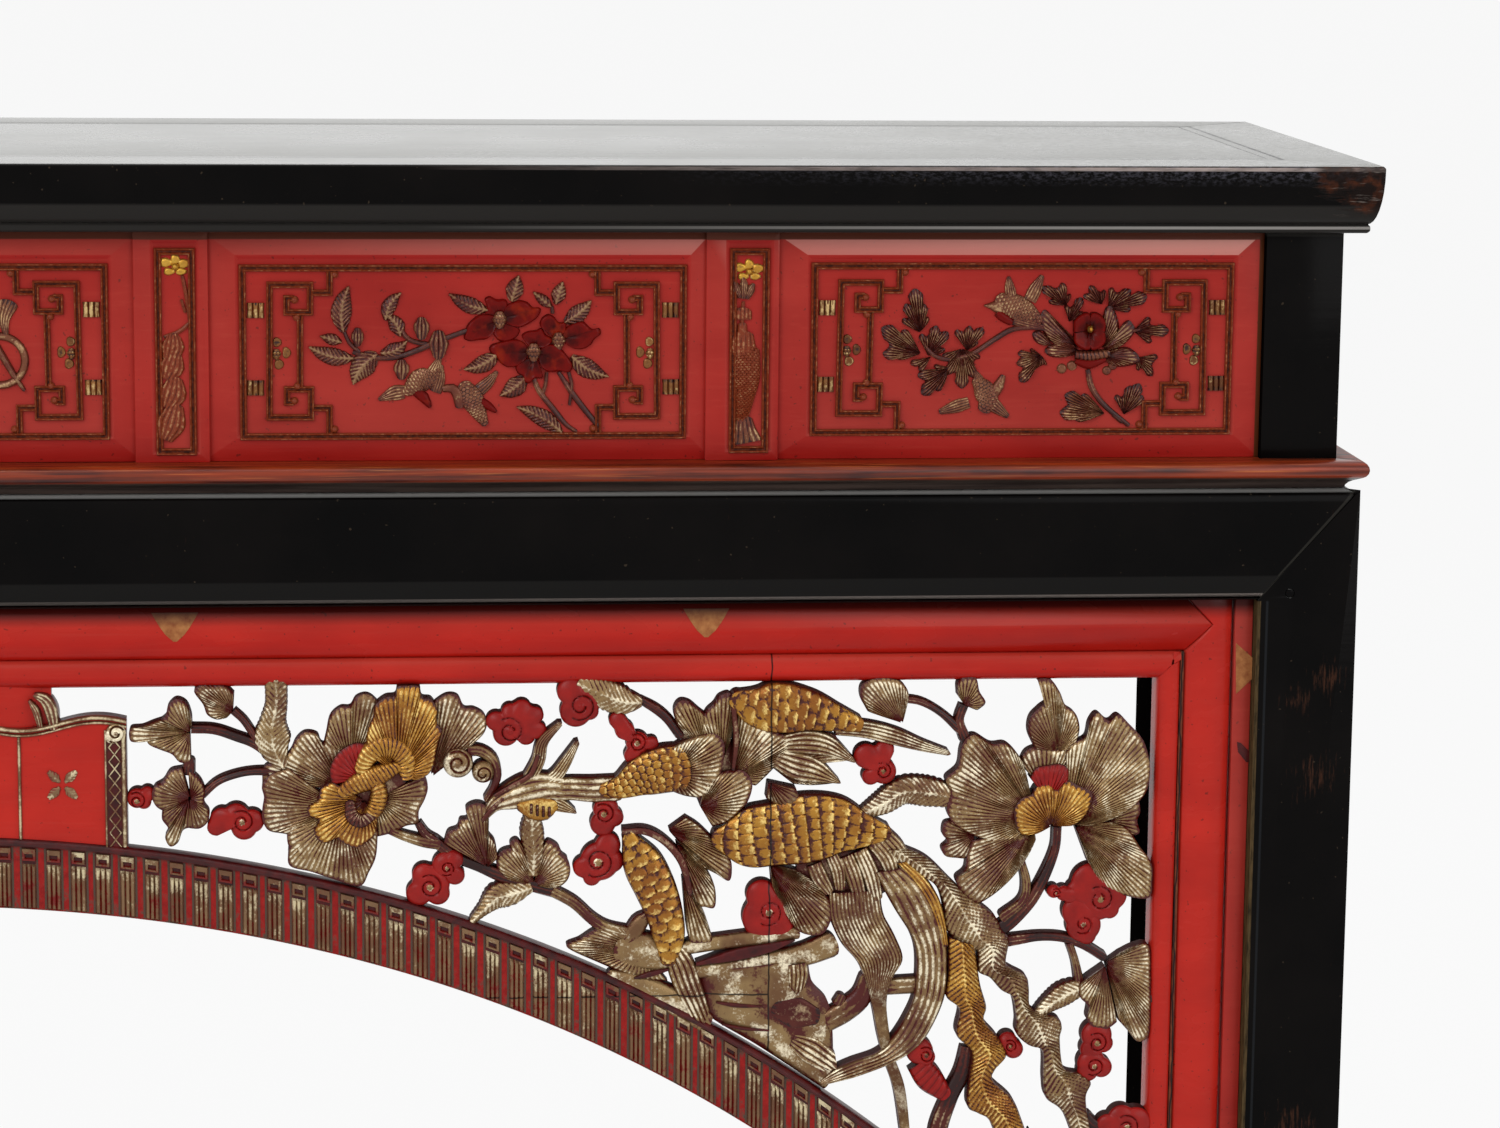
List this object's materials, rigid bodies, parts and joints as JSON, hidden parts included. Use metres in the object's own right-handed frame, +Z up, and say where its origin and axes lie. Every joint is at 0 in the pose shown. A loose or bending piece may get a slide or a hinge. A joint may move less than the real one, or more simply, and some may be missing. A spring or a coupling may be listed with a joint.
{
  "type": "altar table",
  "caption": "Long lacquered altar table with a panelled waist, square legs and a gilded openwork screen over an arched opening between its front legs.",
  "frame": {"origin": "on the floor under the middle of the table", "axes": "+X along the table's length to the viewer's right, -Y is the carved front, +Z up"},
  "size_m": [1.975, 0.436, 0.96],
  "materials": {
    "black_lacquer": "worn black lacquer over wood, satin gloss",
    "red_lacquer": "bright red lacquer over wood, gloss",
    "dusty_red_lacquer": "faded red lacquer with gilded carving, satin",
    "brown_lacquer": "red-brown lacquer over wood, satin",
    "aged_gilt": "carved wood with worn gold leaf over red lacquer",
    "bare_wood": "bare aged wood, matt"
  },
  "bodies": {
    "root": {"top_front_rail": "black_lacquer", "top_back_rail": "black_lacquer", "top_end_left": "black_lacquer", "top_end_right": "black_lacquer", "top_panel": "black_lacquer", "top_batten_1": "bare_wood", "top_batten_2": "bare_wood", "top_batten_3": "bare_wood", "leg_front_left": "black_lacquer", "peg_front_left": "brown_lacquer", "leg_front_right": "black_lacquer", "peg_front_right": "brown_lacquer", "leg_back_left": "black_lacquer", "peg_back_left": "brown_lacquer", "leg_back_right": "black_lacquer", "peg_back_right": "brown_lacquer", "apron_front": "black_lacquer", "moulding_front": "brown_lacquer", "apron_back": "black_lacquer", "moulding_back": "brown_lacquer", "apron_left": "black_lacquer", "moulding_left": "brown_lacquer", "apron_right": "black_lacquer", "moulding_right": "brown_lacquer", "waist_panel_1": "dusty_red_lacquer", "waist_panel_2": "dusty_red_lacquer", "waist_panel_3": "dusty_red_lacquer", "waist_panel_4": "dusty_red_lacquer", "waist_panel_5": "dusty_red_lacquer", "waist_divider_1": "dusty_red_lacquer", "waist_divider_2": "dusty_red_lacquer", "waist_divider_3": "dusty_red_lacquer", "waist_divider_4": "dusty_red_lacquer", "waist_back_board": "black_lacquer", "waist_end_left": "black_lacquer", "waist_end_right": "black_lacquer", "frame_top_rail": "red_lacquer", "frame_stile_left": "red_lacquer", "frame_stile_right": "red_lacquer", "filler_strip_left": "red_lacquer", "filler_strip_right": "red_lacquer", "carved_board_centre": "aged_gilt", "carved_board_left": "aged_gilt", "carved_board_right": "aged_gilt", "carved_lower_left": "aged_gilt", "carved_lower_right": "aged_gilt"}
  },
  "joints": []
}
